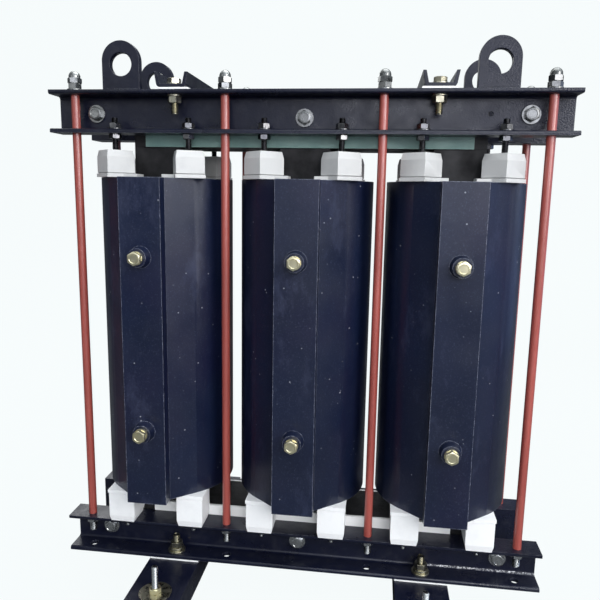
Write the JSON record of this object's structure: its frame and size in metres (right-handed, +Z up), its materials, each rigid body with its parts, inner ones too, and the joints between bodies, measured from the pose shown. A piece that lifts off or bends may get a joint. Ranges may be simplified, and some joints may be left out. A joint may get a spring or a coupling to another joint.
{
  "type": "inverter reactor",
  "caption": "Dry-type iron-core reactor: cast coils on laminated core legs, clamped in a painted channel frame with sleeved tie rods, support blocks, lifting lugs and buffered feet.",
  "frame": {"origin": "on the floor, at the middle of the part's bounding box", "axes": "+Z up, +X along the frame to the right as seen from the terminals, terminals facing -Y"},
  "size_m": [0.802, 0.47, 0.9147],
  "materials": {
    "frame_paint": "gloss",
    "core_lacquer": "satin",
    "coil_resin": "satin",
    "block_white": "matt",
    "board_green": "satin",
    "board_pale": "matt",
    "sleeve_red": "satin",
    "bright_zinc": "zinc plated",
    "yellow_zinc": "yellow passivated zinc",
    "dark_steel": "blackened",
    "rubber": "matt"
  },
  "bodies": {
    "root": {"beam_bolts": "yellow_zinc", "beam_nuts": "yellow_zinc", "beam_washers": "yellow_zinc", "block_screws": "bright_zinc", "buffer_nuts": "yellow_zinc", "buffer_studs": "bright_zinc", "buffer_washers": "yellow_zinc", "clamp_bolts": "bright_zinc", "clamp_nuts": "bright_zinc", "clamp_washers": "bright_zinc", "coil_left": "coil_resin", "coil_middle": "coil_resin", "coil_right": "coil_resin", "core_leg_left": "core_lacquer", "core_leg_middle": "core_lacquer", "core_leg_right": "core_lacquer", "cross_beam_left": "frame_paint", "cross_beam_pads": "board_pale", "cross_beam_right": "frame_paint", "foot_beam_left": "frame_paint", "foot_beam_right": "frame_paint", "foot_bolts": "yellow_zinc", "foot_nuts": "yellow_zinc", "foot_pads": "board_pale", "foot_washers": "yellow_zinc", "foot_wide_washers": "yellow_zinc", "jack_nuts": "dark_steel", "jack_studs": "dark_steel", "jack_washers": "dark_steel", "leg_gap_spacers": "board_pale", "lifting_lug_front_left": "frame_paint", "lifting_lug_front_right": "frame_paint", "lifting_lug_rear_left": "frame_paint", "lifting_lug_rear_right": "frame_paint", "lower_blocks_left": "block_white", "lower_blocks_middle": "block_white", "lower_blocks_right": "block_white", "lower_board_front": "board_pale", "lower_board_rear": "board_pale", "lower_channel_front": "frame_paint", "lower_channel_rear": "frame_paint", "lower_yoke": "core_lacquer", "rubber_buffers": "rubber", "terminal_bolts": "yellow_zinc", "terminal_washers": "yellow_zinc", "tie_rod_cap_nuts": "bright_zinc", "tie_rod_nuts": "bright_zinc", "tie_rod_sleeves": "sleeve_red", "tie_rod_thin_nuts": "bright_zinc", "tie_rod_washers": "bright_zinc", "tie_rods": "bright_zinc", "upper_blocks_left": "block_white", "upper_blocks_middle": "block_white", "upper_blocks_right": "block_white", "upper_board_front": "board_green", "upper_board_rear": "board_green", "upper_channel_front": "frame_paint", "upper_channel_rear": "frame_paint", "upper_yoke": "core_lacquer"}
  },
  "joints": []
}
